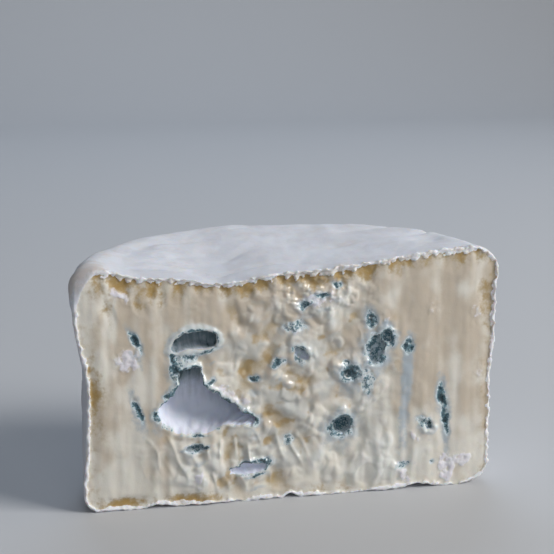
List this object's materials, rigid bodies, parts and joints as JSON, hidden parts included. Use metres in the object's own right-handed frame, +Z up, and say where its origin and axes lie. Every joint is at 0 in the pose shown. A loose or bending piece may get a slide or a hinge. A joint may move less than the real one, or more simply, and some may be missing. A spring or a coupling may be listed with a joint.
{
  "type": "cheese wedge",
  "caption": "Thick wedge of soft blue-veined cheese with a white bloomy rind, half of a small tall wheel, cut face forward; food that rests on its base.",
  "frame": {"origin": "centre of the bounding box in X and Y, at the base that the wedge stands on", "axes": "+Z up; the cut face looks along -Y and the back of the rim along +Y; +X is to the right, seen from the cut face"},
  "size_m": [0.1318, 0.062, 0.0797],
  "materials": {
    "cheese": "moist pale cream paste with blue-grey mould on the cut face, dry white downy rind everywhere else"
  },
  "bodies": {
    "root": {"cheese_wedge": "cheese"}
  },
  "joints": []
}
